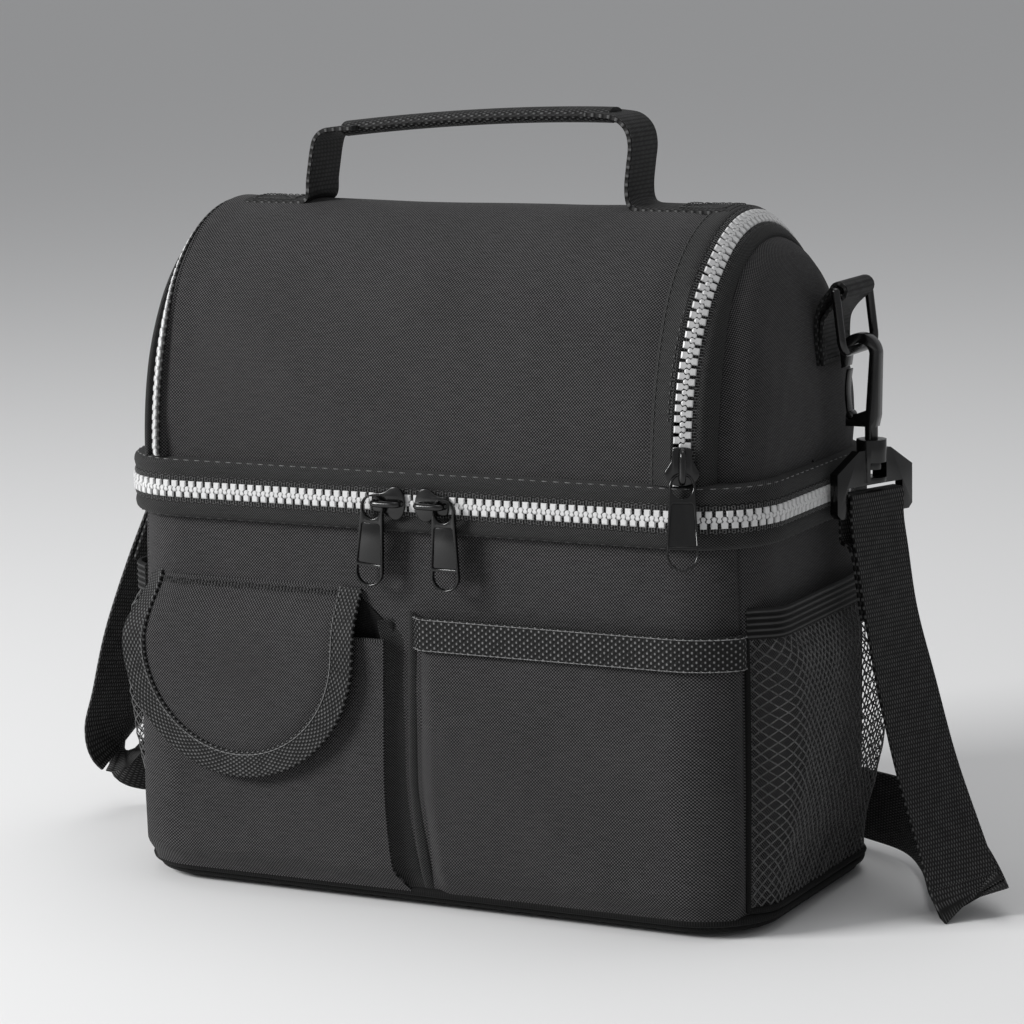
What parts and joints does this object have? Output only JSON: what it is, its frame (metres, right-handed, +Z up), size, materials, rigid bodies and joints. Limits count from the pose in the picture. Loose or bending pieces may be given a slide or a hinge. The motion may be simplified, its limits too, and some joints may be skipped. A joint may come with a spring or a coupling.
{
  "type": "insulated cooler bag",
  "caption": "Soft insulated cooler bag with a zipped lower box, an arched zipped top, front and side pockets, a carry handle and a detachable shoulder strap.",
  "frame": {"origin": "middle of the base's underside", "axes": "+X to the right end, -Y to the front with the pockets, +Z up"},
  "size_m": [0.4243, 0.1876, 0.317],
  "materials": {
    "cloth": "matt plain weave",
    "webbing": "ribbed webbing",
    "foam": "closed-cell foam",
    "foil": "foil-faced sheet",
    "teeth": "satin moulded",
    "plastic": "gloss black"
  },
  "bodies": {
    "lower": {"base_panel": "cloth", "base_piping": "webbing", "lower_shell": "cloth", "lower_foam": "foam", "lower_liner": "foil", "lower_band": "cloth", "lower_zip_tape": "webbing", "lower_zip_teeth": "teeth", "rear_hinge_lower": "cloth", "pouch_panel": "cloth", "pouch_gusset": "cloth", "pouch_loop_tape": "webbing", "flap_header": "webbing", "right_pocket_panel": "cloth", "right_pocket_band": "webbing", "mesh_pocket_left": "webbing", "mesh_pocket_right": "webbing", "mesh_elastic_left": "webbing", "mesh_elastic_right": "webbing", "strap_left": "webbing", "strap_rear": "webbing", "strap_right": "webbing", "strap_adjuster": "plastic"},
    "flap": {"flap_panel": "cloth", "flap_trim": "webbing", "flap_hook_tape": "webbing"},
    "front_slider_left": {"slider_left": "plastic"},
    "front_pull_left": {"pull_left": "plastic"},
    "front_slider_right": {"slider_right": "plastic"},
    "front_pull_right": {"pull_right": "plastic"},
    "upper": {"upper_band": "cloth", "divider_panel": "cloth", "upper_liner": "foil", "rear_hinge_upper": "cloth", "upper_zip_tape": "webbing", "upper_zip_teeth": "teeth", "end_panel_left": "cloth", "end_panel_right": "cloth", "arch_tape_end": "webbing", "arch_teeth_end": "teeth", "ring_tab_left": "webbing", "ring_tab_right": "webbing"},
    "cover_slider": {"arch_slider": "plastic"},
    "cover_pull": {"arch_pull": "plastic"},
    "cover": {"cover_shell": "cloth", "cover_foam": "foam", "cover_liner": "foil", "arch_tape_cover": "webbing", "arch_teeth_cover": "teeth", "handle_anchor": "webbing"},
    "handle": {"handle_webbing": "webbing", "handle_grip": "webbing"},
    "ring_left": {"d_ring_left": "plastic"},
    "ring_right": {"d_ring_right": "plastic"},
    "hook_left": {"snap_hook_left": "plastic"},
    "hook_right": {"snap_hook_right": "plastic"},
    "gate_left": {"hook_gate_left": "plastic"},
    "gate_right": {"hook_gate_right": "plastic"},
    "yoke_left": {"swivel_yoke_left": "plastic"},
    "yoke_right": {"swivel_yoke_right": "plastic"}
  },
  "joints": [
    {"name": "upper_flip", "type": "hinge", "parent": "lower", "child": "upper", "pos_m": [0, 0.0746, 0.164], "axis": [-1, 0, 0], "range_deg": [0, 100], "deforming": ["lower_zip_teeth", "upper_zip_teeth", "strap_left", "strap_rear", "strap_right"]},
    {"name": "cover_open", "type": "hinge", "parent": "upper", "child": "cover", "pos_m": [0, -0.0703, 0.176], "axis": [1, 0, 0], "range_deg": [0, 90], "deforming": ["arch_teeth_end", "arch_teeth_cover"]},
    {"name": "handle_lean", "type": "hinge", "parent": "cover", "child": "handle", "pos_m": [0, 0, 0.2878], "axis": [1, 0, 0], "range_deg": [-55, 55], "stiffness_Nm_per_rad": 0.3},
    {"name": "flap_lift", "type": "hinge", "parent": "lower", "child": "flap", "pos_m": [-0.079, -0.0806, 0.126], "axis": [-1, 0, 0], "range_deg": [0, 110]},
    {"name": "slide_left", "type": "slide", "parent": "lower", "child": "front_slider_left", "axis": [-1, 0, 0], "range_m": [0, 0.088]},
    {"name": "slide_right", "type": "slide", "parent": "lower", "child": "front_slider_right", "axis": [1, 0, 0], "range_m": [0, 0.058]},
    {"name": "pull_left_swing", "type": "hinge", "parent": "front_slider_left", "child": "front_pull_left", "pos_m": [-0.0159, -0.0784, 0.164], "axis": [0, 1, 0], "range_deg": [-10, 85]},
    {"name": "pull_right_swing", "type": "hinge", "parent": "front_slider_right", "child": "front_pull_right", "pos_m": [0.0159, -0.0784, 0.164], "axis": [0, -1, 0], "range_deg": [-10, 85]},
    {"name": "cover_slider_run", "type": "hinge", "parent": "upper", "child": "cover_slider", "pos_m": [0.118, 0.08156, 0.176], "axis": [-1, 0, 0], "range_deg": [0, 20]},
    {"name": "cover_pull_lift", "type": "hinge", "parent": "cover_slider", "child": "cover_pull", "pos_m": [0.118, -0.07574, 0.18087], "axis": [-1, 0, 0], "range_deg": [0, 120]},
    {"name": "ring_right_swing", "type": "hinge", "parent": "upper", "child": "ring_right", "pos_m": [0.149, 0.019, 0.244], "axis": [0, -1, 0], "range_deg": [0, 90]},
    {"name": "hook_right_swing", "type": "hinge", "parent": "ring_right", "child": "hook_right", "pos_m": [0.15193, 0.019, 0.22018], "axis": [0, -1, 0], "range_deg": [0, 60]},
    {"name": "gate_right_open", "type": "hinge", "parent": "hook_right", "child": "gate_right", "pos_m": [0.14852, 0.019, 0.19368], "axis": [0, 1, 0], "range_deg": [0, 18], "stiffness_Nm_per_rad": 0.02},
    {"name": "yoke_right_turn", "type": "hinge", "parent": "hook_right", "child": "yoke_right", "pos_m": [0.15693, 0.019, 0.18418], "axis": [0, 0, 1], "range_deg": [0, 40]},
    {"name": "ring_left_swing", "type": "hinge", "parent": "upper", "child": "ring_left", "pos_m": [-0.149, 0.019, 0.244], "axis": [0, 1, 0], "range_deg": [0, 90]},
    {"name": "hook_left_swing", "type": "hinge", "parent": "ring_left", "child": "hook_left", "pos_m": [-0.15602, 0.019, 0.22105], "axis": [0, 1, 0], "range_deg": [0, 60]},
    {"name": "gate_left_open", "type": "hinge", "parent": "hook_left", "child": "gate_left", "pos_m": [-0.15262, 0.019, 0.19455], "axis": [0, -1, 0], "range_deg": [0, 18], "stiffness_Nm_per_rad": 0.02},
    {"name": "yoke_left_turn", "type": "hinge", "parent": "hook_left", "child": "yoke_left", "pos_m": [-0.16102, 0.019, 0.18505], "axis": [0, 0, 1], "range_deg": [0, 40]}
  ]
}
